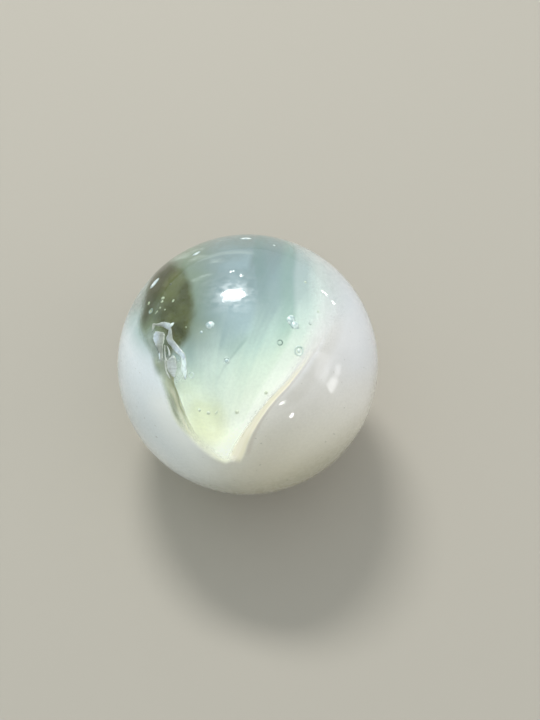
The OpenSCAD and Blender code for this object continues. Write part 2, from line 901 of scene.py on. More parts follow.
        # Painted shade on the upper right.
        shade = (at.side + (wisps - 0.5) * 0.3).step(0.3, 0.85) * at.up.step(0.12, 0.62)
        tone = sh.mix(shade * 0.85, tone, self.opal_shade)
        grain = sh.noise(at.where, 55.0, detail=2)
        tone = sh.mix(grain.step(0.35, 0.65) * 0.06, tone, self.speck)
        specks = sh.noise(at.where, 26.0, detail=1, shift=(9, 4, 1)).step(0.72, 0.78)
        return sh.mix(specks * 0.4, tone, self.speck)

    def _upper_left(self, sh: Shader, at: Reading, tone: Socket) -> Socket:
        """Thins the opal glass out beside the window at the upper left, and smokes it.

        Args:
            sh: the shader.
            at: what it reads.
            tone: the colour so far.

        Returns:
            The colour.
        """
        limb = at.side.step(-0.3, -0.6) * at.near.step(-0.35, -0.05)
        thin = at.left.step(-1.8, 0.1) * at.up.step(-0.1, 0.25) * 0.9
        thin = thin.most(at.left.step(-3.6, -1.0) * at.up.step(0.15, 0.36) * 0.85)
        tone = sh.mix(thin * limb, tone, self.opal_thin)
        smoke = at.left.step(-3.0, -0.7) * at.up.step(0.32, 0.48) * limb
        return sh.mix(smoke * 0.95, tone, self.opal_smoke)

    def _flanks(self, sh: Shader, at: Reading, tone: Socket) -> Socket:
        """Paints shade on the opal glass right of the window, and paints light on it at the lower
        left.

        Args:
            sh: the shader.
            at: what it reads.
            tone: the colour so far.

        Returns:
            The colour.
        """
        # Painted shade on the opal right of the window and beside the cream strip.
        dull = at.right.step(-3.6, -2.0) * at.right.step(-0.6, -1.5) * 0.17
        beside = at.right.step(-2.0, -1.0) * at.right.step(-0.3, -0.7) * at.up.step(-0.38, -0.22)
        dull = dull.most(beside * 0.36) * at.up.step(0.5, 0.2) * at.side.step(-0.2, 0.1)
        tone = sh.mix(dull, tone, self.opal_painted_shade_right)
        # Painted light on the opal left of the window's lower part.
        bright = at.left.step(-2.8, -0.5) * at.up.step(-0.1, -0.32) * at.side.step(-0.15, -0.45)
        bright = bright * at.near.step(-0.2, 0.1) * at.up.step(-0.7, -0.5, 0.6, 1.0)
        return sh.mix(bright * 0.75, tone, self.opal_painted_light)

    def _borders(self, sh: Shader, at: Reading, tone: Socket) -> Socket:
        """Paints cool sky light on the right side and shade on the rim, and greys the window's soft
        upper right edge, partly as painted shade.

        Args:
            sh: the shader.
            at: what it reads.
            tone: the colour so far.

        Returns:
            The colour.
        """
        side, up = at.side, at.up
        # Painted cool sky light on the right side.
        tone = sh.mix(side.step(0.5, 0.9) * up.step(-0.2, 0.15) * 0.5, tone, self.opal_painted_sky_light)
        # Painted shade on the lower and right rim.
        rim = (side * 0.6 - up * 0.8).step(0.72, 0.98).most(up.step(-0.82, -1.0) * 0.6)
        edge = (side.power(2) + up.power(2)).step(0.82, 1.0) * side.step(0.5, 0.8)
        rim = rim.most(edge * up.step(0.05, -0.15) * 0.6)
        tone = sh.mix(rim * 0.5, tone, self.opal_painted_rim_shade)
        # Grey of the thinning opal by the window's upper right edge, partly painted shade.
        mist = at.right.step(-3.0, -0.2) * up.step(0.2, 0.7) * at.near.step(-0.5, -0.2)
        return sh.mix(mist * 0.8, tone, self.opal_mist_and_painted_shade)

    def _seams(self, sh: Shader, at: Reading, tone: Socket) -> tuple[Value, Value, Socket]:
        """Draws the lines of the fold's lower end and of the window's right edge.

        Args:
            sh: the shader.
            at: what it reads.
            tone: the colour so far.

        Returns:
            How much the lines cover, how much painted glow they give, and the colour with the lines
            on it.
        """
        ripple = (sh.noise(at.where, 9.0, detail=2) - 0.5) * 0.16
        along, across = sh.attribute("along"), sh.attribute("across") + ripple
        cover, painted_glow, tone = self._lines(sh, self.fold_lines, along, across, tone)
        run = sh.attribute("run")
        tone = sh.mix(self.streak.mask(run, at.right), tone, self.streak.colour)
        inside = (at.right + 0.04 + ripple * 0.5) * run.step(1.0, 6.0, 1.0, 2.6)
        edge_cover, edge_painted_glow, tone = self._lines(sh, self.edge_lines, run, inside, tone)
        return cover.most(edge_cover), painted_glow.most(edge_painted_glow), tone

    def _open_share(self, sh: Shader, at: Reading, paint: Value) -> Value:
        """How clear the skin is: 1 in the window, falling off over a ragged, grainy border.

        Args:
            sh: the shader.
            at: what it reads.
            paint: how much the lines cover.

        Returns:
            The share of clear glass.
        """
        wisps = sh.noise(at.where, 5.0, detail=4, stretch=(2.2, 1.0, 1.0), shift=(5, 2, 7))
        grit = sh.noise(at.where, 320.0, detail=0) - 0.5
        ragged = sh.attribute("clear") + 0.5 + (wisps - 0.5) * 0.6 + grit
        share = ragged.step(0, 1) * (1 - paint)
        share = share + share * (1 - share) * grit * 5
        return share * at.up.step(-0.735, -0.66)

    def _lines(
        self,
        sh: Shader,
        stripes: tuple[Stripe, ...],
        along: Value,
        across: Value,
        tone: Socket,
    ) -> tuple[Value, Value, Socket]:
        """Draws soft lines over a colour.

        Args:
            sh: the shader.
            stripes: the lines, lowest first.
            along: place along the lines.
            across: millimetres across them.
            tone: the colour under the lines.

        Returns:
            How much the lines cover, how much painted glow they give, and the colour with the lines
            on it.
        """
        cover = painted_glow = None
        for stripe in stripes:
            mask = stripe.mask(along, across)
            tone = sh.mix(mask, tone, stripe.colour)
            cover = mask if cover is None else cover.most(mask)
            # Painted glow of each line, as emission.
            lit = mask * stripe.glow
            painted_glow = lit if painted_glow is None else painted_glow.most(lit)
        return cover, painted_glow, tone


@dataclass(frozen=True)
class HeartFinish:
    """The milky glass under the window, which carries the tints.

    stops runs along the tints' way from the window's point, glow is the strength of the thin
    glass's painted glow, given as emission, and spread is the pattern's size against the ball's.
    """

    stops: tuple[tuple[float, str], ...] = (
        (0.10, "F0F4EA"),
        (0.22, "E2E8DA"),
        (0.34, "D5DFD1"),
        (0.46, "BFD0C8"),
        (0.58, "A3B4B3"),
        (0.70, "95A7A9"),
        (0.82, "8A9A9B"),
        (0.95, "8A9795"),
    )
    moss: Colour = srgb("82907A")
    olive: Colour = srgb("444716")
    olive_light: Colour = srgb("606434")
    olive_painted_rim_shade: Colour = srgb("2A2A00")
    veil: Colour = srgb("F2EEEC")
    veil_top_painted_shade: Colour = srgb("DEE4DE")
    yellow: Colour = srgb("E8EBD2")
    lime: Colour = srgb("CED2B0")
    # Painted bluish reflection of the sky round the highlight.
    sheen: Colour = srgb("B8CBD6")
    seam: Colour = srgb("9DB6A8")
    stria: Colour = srgb("7F9692")
    milk: Colour = srgb("F0F6EC")
    dust: Colour = srgb("7E8A84")
    glow: float = 0.18
    spread: float = 0.93

    def build(self, ball: Ball) -> bpy.types.Material:
        """Makes the material.

        Args:
            ball: the ball, for the pattern's size.

        Returns:
            The material.
        """
        sh = Shader.material("milky_heart")
        at = Reading.of(sh, ball.radius * self.spread)
        sweep, reach = sh.attribute("sweep"), sh.attribute("reach")
        spokes = {0: sweep * 9 - reach * 2, 1: reach * 0.35, 2: 0.0}
        striae = sh.noise(sh.add("ShaderNodeCombineXYZ", {}, spokes).outputs[0], 1.6, detail=4)
        cloud = sh.noise(at.where, 1.7, detail=3, distortion=0.8)
        mottle = sh.noise(at.where, 6.0, detail=4)
        flow = at.flow() + (striae - 0.5) * 0.3 + (cloud - 0.5) * 0.12
        turn = sweep + (striae - 0.5) * 0.03
        colour = self._tints(sh, at, flow, cloud)
        colour = self._middle_seam(sh, turn, reach, colour)
        colour = self._veil(sh, turn, reach, flow, colour)
        colour = self._upper_marks(sh, at, mottle, colour)
        colour = self._olive_patch(sh, at, cloud, mottle, colour)
        grain = sh.noise(at.where, 48.0, detail=2)
        colour = sh.mix(grain.step(0.35, 0.65) * 0.07, colour, self.dust)
        surface = sh.principled(
            Base_Color=colour,
            Roughness=0.6,
            Specular_IOR_Level=0.0,
            # Painted glow: emission where the thin glass would gather light.
            Emission_Color=sh.mix(self._glow(at) * self.glow, BLACK, colour),
            Emission_Strength=1.0,
        )
        return sh.finish(surface)

    def _tints(self, sh: Shader, at: Reading, flow: Value, cloud: Value) -> Socket:
        """The tints up the window, from pale yellow-green at its point to blue-grey.

        Args:
            sh: the shader.
            at: what it reads.
            flow: place along the way that the tints run, stirred.
            cloud: large soft noise.

        Returns:
            The colour.
        """
        side, up = at.side, at.up
        stops = [(place, srgb(code)) for place, code in self.stops]
        colour = sh.ramp(at.share(flow), stops)
        moss = (side + (cloud - 0.5) * 0.15).step(-0.16, -0.44) * up.step(-0.02, 0.3)
        mint = side.step(-0.42, -0.30) * side.step(-0.02, -0.18)
        mint = mint * up.step(0.15, 0.01) * up.step(-0.42, -0.12)
        upper = side.step(-0.44, -0.32) * side.step(-0.17, -0.25)
        upper = upper * up.step(0.33, 0.2) * up.step(0.0, 0.12)
        yellow = at.left.step(3.0, 0.6) * up.step(0.1, -0.25) * up.step(-0.68, -0.5)
        far = ((side + 0.30) / 0.12).power(2) + ((up + 0.44) / 0.17).power(2)
        spot = (far + (cloud - 0.5) * 1.2).step(2.4, 0.0)
        layers = (
            (moss * 0.9, self.moss),
            (mint * 0.4, self.milk),
            (upper * 0.16, self.milk),
            (yellow * 0.7, self.yellow),
            (spot * 0.65, self.lime),
        )
        return sh.cover(colour, layers)

    def _middle_seam(self, sh: Shader, turn: Value, reach: Value, colour: Socket) -> Socket:
        """The seam that rises up the middle: a painted bluish reflection, then dark and cracked in
        turn.

        Args:
            sh: the shader.
            turn: the way from the window's point, in radians.
            reach: the distance from it, in radians.
            colour: the colour so far.

        Returns:
            The colour.
        """
        middle = turn - reach.step(1.15, 1.8, 0.070, -0.01) + reach.step(1.15, 0.5, 0.0, 0.40)
        # Painted bluish reflection below the highlight, beside the seam.
        painted_reflection = middle.step(-0.34, -0.06) * middle.step(0.05, -0.05)
        painted_reflection = painted_reflection * reach.step(1.5, 1.3) * reach.step(0.95, 1.15)
        dusk = middle.step(-0.18, -0.02) * middle.step(0.014, -0.010)
        dusk = dusk * reach.step(1.12, 1.0) * reach.step(0.80, 0.92)
        crack = middle.step(-0.040, -0.008) * middle.step(0.022, 0.0)
        crack = crack * reach.step(1.08, 0.99) * reach.step(0.62, 0.92, 0.12, 1.0)
        crack = crack * reach.step(0.58, 0.66)
        line = turn - reach.step(1.2, 2.1, 0.10, -0.05)
        band = line.step(-0.012, 0.012) * line.step(0.16, 0.04) * reach.step(1.15, 1.7)
        layers = (
            (painted_reflection * 0.34, self.sheen),
            (dusk * 0.18, self.stria),
            (crack * 0.26, self.stria),
            (band * 0.5, self.stria),
        )
        return sh.cover(colour, layers)

    def _veil(
        self, sh: Shader, turn: Value, reach: Value, flow: Value, colour: Socket
    ) -> Socket:
        """The milky veil over the window's right side, behind a green seam, with painted shade
        greying its top.

        Args:
            sh: the shader.
            turn: the way from the window's point, in radians.
            reach: the distance from it, in radians.
            flow: place along the way that the tints run, stirred.
            colour: the colour so far.

        Returns:
            The colour.
        """
        past = turn - reach.step(1.25, 1.75, 0.40, 0.315) + reach.step(1.15, 0.3, 0.0, 0.17)
        rising = past.step(-0.16, -0.05) * past.step(0.022, -0.022) * reach.step(0.95, 1.2)
        veil = past.step(-0.024, 0.03) * reach.step(0.5, 1.1, 0.28, 0.34)
        veil = veil.most(past.step(-0.01, 0.24) * 0.9)
        # Greyer towards the veil's top: painted shade.
        mist = sh.mix(flow.step(0.4, -0.15), self.veil_top_painted_shade, self.veil)
        return sh.cover(colour, ((rising * 0.4, self.seam), (veil, mist)))

    def _upper_marks(self, sh: Shader, at: Reading, mottle: Value, colour: Socket) -> Socket:
        """High in the window: a pale bluish patch of painted sky reflection, feathers, an arc, and
        milk lower down.

        Args:
            sh: the shader.
            at: what it reads.
            mottle: noise of middling grain.
            colour: the colour so far.

        Returns:
            The colour.
        """
        side, up = at.side, at.up
        ridge = side - (up - 0.66) * 0.25 + (mottle - 0.5) * 0.05
        # The patch is a painted bluish reflection of the sky.
        patch = ridge.step(0.03, -0.02) * side.step(-0.30, -0.10) * up.step(0.25, 0.45)
        patch = patch * up.step(0.86, 0.76) * mottle.step(0.25, 0.7)
        feather = sh.noise(at.where, 7.0, detail=4, stretch=(0.35, 1.6, 1.0), shift=(1, 8, 2))
        feather = feather.step(0.54, 0.72) * side.step(-0.05, -0.25) * up.step(0.5, 0.66)
        arc = up + side.power(2) * 0.55 - 0.785 + (mottle - 0.5) * 0.02
        arc = arc.step(-0.010, 0.0) * arc.step(0.024, 0.004) * side.step(-0.42, -0.3)
        arc = arc * side.step(0.08, -0.02)
        milk = sh.noise(at.where, 4.2, detail=5, shift=(2, 6, 3), distortion=0.5)
        milk = milk.step(0.5, 0.72) * up.step(0.3, -0.2)
        layers = (
            (patch * 0.3, self.sheen),
            (feather * 0.26, self.milk),
            (arc * 0.14, self.milk),
            (milk * 0.35, self.milk),
        )
        return sh.cover(colour, layers)

    def _olive_patch(
        self, sh: Shader, at: Reading, cloud: Value, mottle: Value, colour: Socket
    ) -> Socket:
        """The dark olive patch at the upper left, mossy below, with painted shade that darkens it
        most at the rim.

        Args:
            sh: the shader.
            at: what it reads.
            cloud: large soft noise.
            mottle: noise of middling grain.
            colour: the colour so far.

        Returns:
            The colour.
        """
        side, up = at.side, at.up
        centre = 0.615 + (up - 0.45).power(2) * 0.35
        gap = ((side + centre) / 0.225).power(2) + ((up - 0.40) / 0.39).power(2)
        olive = (gap + (cloud - 0.5) * 0.3 + (mottle - 0.5) * 0.7).step(1.4, 0.7)
        olive = olive * at.near.step(-0.3, -0.1)
        mossy = at.left.step(1.5, 0.3) * up.step(0.6, 0.45)
        # Painted shade on the olive, darkest at the rim.
        limb = (side.power(2) + up.power(2)).step(0.62, 0.76) * up.step(0.2, 0.4)
        shade = sh.mix(mottle.step(0.36, 0.68), self.olive, self.olive_light)
        shade = sh.cover(shade, ((mossy * 0.75, self.moss), (limb * 0.8, self.olive_painted_rim_shade)))
        return sh.mix(olive * 0.97, colour, shade)

    def _glow(self, at: Reading) -> Value:
        """Painted glow where light would gather in the thin glass: at the point and along the
        edges.

        Args:
            at: what the shader reads.

        Returns:
            The strength, mostly from 0 to 1.
        """
        side, up, left, right = at.side, at.up, at.left, at.right
        glow = up.step(-0.15, -0.7) * left.step(-0.2, 0.3) * right.step(-0.2, 0.2)
        glow = glow.most(right.step(1.3, 0.3) * up.step(0.15, -0.15) * right.step(-0.2, 0.2))
        glow = glow.most(left.step(2.6, 0.8) * up.step(0.0, -0.2) * left.step(0.0, 0.4))
        tip = up.step(-0.38, -0.56) * left.step(-0.2, 0.3)
        return glow + tip * side.step(-0.32, -0.18, 0.6, 1.0)


@dataclass(frozen=True)
class AirFinish:
    """Air caught under glass: a silvery film, dull in places and pearly in others."""

    tones: tuple[tuple[float, Colour], ...] = (
        (0.0, srgb("7A8174")),
        (0.3, srgb("969D94")),
        (0.55, srgb("ABB5BB")),
        (0.75, srgb("BAC8D0")),
        (1.0, srgb("E6F6F2")),
    )
    warm: Colour = srgb("C2C6B6")
    # Pale rim of the films: partly their own pale green edge, partly a painted edge highlight.
    edge: Colour = srgb("C9CEBB")
    crease: Colour = srgb("868C82")
    roughness: float = 0.3
    relief: float = 0.05

    def build(self, ball: Ball) -> bpy.types.Material:
        """Makes the material.

        Args:
            ball: the ball, for the pattern's size.

        Returns:
            The material.
        """
        sh = Shader.material("silvery_air")
        where = sh.place(Euler((0, 0, 0)), ball.radius)
        patches = sh.noise(where, 26, detail=2)
        crackle = sh.noise(where, 70, detail=3)
        border, tone, warm = (sh.attribute(name) for name in ("border", "tone", "warm"))
        level = tone + (patches - 0.5) * 0.6 + (crackle - 0.5) * 0.3
        colour = sh.ramp(level, list(self.tones))
        colour = sh.mix(warm * 0.8, colour, self.warm)
        creases = abs(sh.noise(where, 34, detail=3, shift=(4, 4, 4)) - 0.5).step(0.035, 0.0)
        colour = sh.mix(creases * 0.45, colour, self.crease)
        # Paler rim: partly the film's own edge colour, partly a painted edge highlight.
        rim = (border + (patches - 0.5) * 0.5).step(0.72, 0.95)
        colour = sh.mix(rim * 0.75, colour, self.edge)
        relief = {"Height": patches, "Strength": 0.5, "Distance": self.relief * MM}
        bump = sh.add("ShaderNodeBump", {}, relief).outputs[0]
        return sh.finish(sh.principled(Base_Color=colour, Roughness=self.roughness, Normal=bump))


@dataclass(frozen=True)
class BubbleFinish:
    """A bubble's wall, from its dark side to its pale side."""

    name: str
    dark: Colour
    pale: Colour
    roughness: float = 0.2
    metallic: float = 0.0

    def build(self, ball: Ball) -> bpy.types.Material:
        """Makes the material.

        Args:
            ball: the ball, for the pattern's size.

        Returns:
            The material.
        """
        sh = Shader.material(self.name)
        spots = sh.noise(sh.place(Euler((0, 0, 0)), ball.radius), 34, detail=2)
        colour = sh.mix(spots.step(0.38, 0.6), self.dark, self.pale)
        wall = {"Roughness": self.roughness, "Metallic": self.metallic}
        return sh.finish(sh.principled(Base_Color=colour, **wall))


@dataclass(frozen=True)
class PlainFinish:
    """One even colour, for the floor."""

    name: str
    colour: Colour
    roughness: float

    def build(self) -> bpy.types.Material:
        """Makes the material."""
        sh = Shader.material(self.name)
        return sh.finish(sh.principled(Base_Color=self.colour, Roughness=self.roughness))


# ---------------------------------------------------------------------------------------------
# Pieces
# ---------------------------------------------------------------------------------------------


def add_object(name: str, data: bpy.types.ID) -> bpy.types.Object:
    """Adds an object to the scene."""
    made = bpy.data.objects.new(name, data)
    bpy.context.scene.collection.objects.link(made)
    return made


def add_mesh(name: str, bm: bmesh.types.BMesh, finish: bpy.types.Material) -> bpy.types.Object:
    """Turns a bmesh into an object with one material.

    Args:
        name: the object's name.
        bm: its mesh, which is freed.
        finish: its material.

    Returns:
        The new object.
    """
    mesh = bpy.data.meshes.new(name)
    bm.to_mesh(mesh)
    bm.free()
    mesh.materials.append(finish)
    return add_object(name, mesh)


def add_piece(name: str, bm: bmesh.types.BMesh, finish: bpy.types.Material) -> bpy.types.Object:
    """Turns a bmesh into a smooth-shaded piece that rides on the ball's body.

    Args:
        name: the piece's name.
        bm: its mesh, which is freed.
        finish: its material.

    Returns:
        The new object.
    """
    piece = add_mesh(name, bm, finish)
    piece.data.shade_smooth()
    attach(piece, "root")
    return piece


def joined(verts: list[bmesh.types.BMVert], kind: str) -> list:
    """The faces or edges that touch some points, each once and always in the same order.

    Args:
        verts: the points.
        kind: "link_faces" or "link_edges".

    Returns:
        The faces or edges.
    """
    return list(dict.fromkeys(part for v in verts for part in getattr(v, kind)))


def settle(bm: bmesh.types.BMesh) -> None:
    """Puts a mesh's edges and faces in the order of their points.

    Solidify and spin leave them in an order that changes from run to run.

    Args:
        bm: the mesh.
    """
    bm.verts.index_update()
    for parts in (bm.edges, bm.faces):
        ranked = sorted(parts, key=lambda part: sorted(v.index for v in part.verts))
        rank = {part: place for place, part in enumerate(ranked)}
        parts.sort(key=rank.get)
        parts.index_update()


def store(mesh: bpy.types.Mesh, fields: dict[str, np.ndarray]) -> None:
    """Keeps named numbers on a mesh's points, for its material to read."""
    for name, numbers in fields.items():
        layer = mesh.attributes.new(name, "FLOAT", "POINT")
        layer.data.foreach_set("value", numbers.astype(np.float32))


def points_of(mesh: bpy.types.Mesh) -> np.ndarray:
    """A mesh's points, one a row, in metres."""
    flat = np.zeros(len(mesh.vertices) * 3)
    mesh.vertices.foreach_get("co", flat)
    return flat.reshape(-1, 3)


def sink_points(mesh: bpy.types.Mesh, ball: Ball, depth: np.ndarray) -> None:
    """Moves a mesh's points towards the ball's centre.

    Args:
        mesh: the mesh.
        ball: the ball.
        depth: how far each point moves, in millimetres.
    """
    points = points_of(mesh)
    sunk = points - ball.rays(points) * depth[:, None] * MM
    mesh.vertices.foreach_set("co", sunk.ravel())
    mesh.update()


def fine_ball(ball: Ball, subdivisions: int) -> bmesh.types.BMesh:
    """An even ball of small triangles round the ball's centre.

    Args:
        ball: the ball.
        subdivisions: how often the first twenty triangles are split.

    Returns:
        The mesh.
    """
    bm = bmesh.new()
    bmesh.ops.create_icosphere(
        bm, subdivisions=subdivisions, radius=ball.radius, matrix=Matrix.Translation(ball.centre)
    )
    return bm


@dataclass
class Skin:
    """The ball's outer surface, with the fold cut in it.

    Its triangles are split once more over fine_along, and within fine_across, of the fold.
    """

    ball: Ball
    window: Window
    fold: Fold
    finish: SkinFinish = SkinFinish()
    subdivisions: int = 7
    fine_along: tuple[float, float] = (-0.6, 7.2)
    fine_across: float = 1.3

    def build(self) -> bpy.types.Object:
        """Makes the piece.

        Returns:
            The skin.
        """
        bm = fine_ball(self.ball, self.subdivisions)
        self._refine(bm)
        piece = add_piece("marble_skin", bm, self.finish.build(self.ball))
        points = points_of(piece.data)
        fields = self.window.fields(self.ball, points)
        fields["along"], fields["across"] = self.fold.measure(self.ball, points)
        sink_points(piece.data, self.ball, self.fold.depth(self.ball, points))
        store(piece.data, fields)
        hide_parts("marble")
        return piece

    def _refine(self, bm: bmesh.types.BMesh) -> None:
        """Splits the triangles round the fold, so that its edges come out crisp."""
        bm.verts.ensure_lookup_table()
        points = np.array([v.co for v in bm.verts])
        along, across = self.fold.measure(self.ball, points)
        start, end = self.fine_along
        near = (along > start) & (along < end) & (np.abs(across) < self.fine_across)
        edges = [e for e in bm.edges if near[e.verts[0].index] and near[e.verts[1].index]]
        bmesh.ops.subdivide_edges(bm, edges=edges, cuts=1, use_grid_fill=True)
        for v in bm.verts:
            v.co = self.ball.centre + (v.co - self.ball.centre).normalized() * self.ball.radius
        bmesh.ops.triangulate(bm, faces=[f for f in bm.faces if len(f.verts) > 3])


@dataclass
class Heart:
    """The milky glass inside, hollowed where the window's clear glass lies over it.

    It reaches skin_gap plus deepest under the skin, and left_slope and right_slope are how far
    in from each edge of the window it gets there. All of them are in millimetres. point is the
    window's point.
    """

    ball: Ball
    window: Window
    fold: Fold
    finish: HeartFinish = HeartFinish()
    subdivisions: int = 7
    skin_gap: float = 0.06
    deepest: float = 1.6
    left_slope: float = 1.1
    right_slope: float = 2.0
    point: tuple[float, float] = (262, 13.2)

    def depth(self, fields: dict[str, np.ndarray]) -> np.ndarray:
        """How deep the clear glass is over each point, in millimetres."""
        left, right = np.maximum(fields["left"], 0), np.maximum(fields["right"], 0)
        from_left = 1 - np.exp(-((left / self.left_slope) ** 2))
        from_right = 1 - np.exp(-((right / self.right_slope) ** 2))
        return self.skin_gap + self.deepest * (from_left * from_right)

    def fan(self, points: np.ndarray) -> dict[str, np.ndarray]:
        """Places seen from the point of the window: which way and how far.

        Args:
            points: places, in metres.

        Returns:
            The turn from straight up the window, and the distance, both in radians.
        """
        tip = direction(*self.point)
        rise = (Vector((0, 0, 1)) - tip * tip.z).normalized()
        across = rise.cross(tip)
        rays = self.ball.rays(points)
        return {
            "sweep": np.arctan2(rays @ np.array(across), rays @ np.array(rise)),
            "reach": np.arccos(np.clip(rays @ np.array(tip), -1, 1)),
        }

    def build(self) -> bpy.types.Object:
        """Makes the piece.

        Returns:
            The heart.
        """
        bm = fine_ball(self.ball, self.subdivisions)
        piece = add_piece("milky_heart", bm, self.finish.build(self.ball))
        points = points_of(piece.data)
        fields = self.window.fields(self.ball, points)
        cut = self.fold.depth(self.ball, points)
        sink_points(piece.data, self.ball, self.depth(fields) + cut)
        store(piece.data, fields | self.fan(points))
        return piece


Spot = tuple[float, float]


@dataclass(frozen=True)
class Flake:
    """A film of caught air, given by rungs from one end to the other.

    A rung joins a spot on the outer side to one on the window side, each as millimetres down
    the fold and across it. Tones run from the first rung to the last, outer side and inner.
    warm is how yellow it is, dome how far it bulges in millimetres, and ragged how much its
    borders wander.
    """

    rungs: tuple[tuple[Spot, Spot], ...]
    tones: tuple[tuple[float, float], ...]
    warm: float = 0.0
    dome: float = 0.05
    ragged: float = 0.12
    thickness: float = 0.012
    grid: tuple[int, int] = (56, 8)
    taper: float = 0.1

    def add(self, bm: bmesh.types.BMesh, ball: Ball, fold: Fold) -> None:
        """Adds the film to a mesh.

        Args:
            bm: the mesh.
            ball: the ball.
            fold: the fold on whose floor the film lies.
        """
        layers = {
            name: bm.verts.layers.float.get(name) or bm.verts.layers.float.new(name)
            for name in ("border", "tone", "warm")
        }
        long, wide = self.grid
        made = bmesh.ops.create_grid(bm, x_segments=long, y_segments=wide, size=1.0)["verts"]
        share = np.array([(v.co.x + 1) / 2 for v in made])
        t = np.array([v.co.y for v in made])
        rungs = np.array(self.rungs).reshape(-1, 4)
        here = smooth_line(rungs, share * (len(rungs) - 1))
        tones = smooth_line(np.array(self.tones), share * (len(self.tones) - 1))
        wave = np.array([noise.noise(Vector((h[0] * 9, h[1] * 9, 2.0))) for h in here])
        lean = (t * (1 + self.ragged * wave) + 1) / 2
        along = here[:, 0] + (here[:, 2] - here[:, 0]) * lean
        across = here[:, 1] + (here[:, 3] - here[:, 1]) * lean
        ends = np.clip(np.minimum(share, 1 - share) / self.taper, 0, 1)
        flat = np.array([fold.spot(ball, *spot) for spot in zip(along, across)])
        cut = fold.depth(ball, flat)
        lift = self.dome * (1 - t**2) * np.sqrt(ends) * (1 + 0.3 * wave) - self.thickness
        for i, v in enumerate(made):
            v.co = fold.spot(ball, along[i], across[i], cut[i] - lift[i])
            v[layers["border"]] = max(abs(t[i]), 1 - ends[i])
            v[layers["tone"]] = tones[i, 0] + (tones[i, 1] - tones[i, 0]) * lean[i]
            v[layers["warm"]] = self.warm
        faces = joined(made, "link_faces")
        bmesh.ops.recalc_face_normals(bm, faces=faces)
        middle = faces[len(faces) // 2]
        if middle.normal.dot(middle.calc_center_median() - ball.centre) < 0:
            bmesh.ops.reverse_faces(bm, faces=faces)
        bmesh.ops.solidify(bm, geom=faces, thickness=self.thickness * MM)


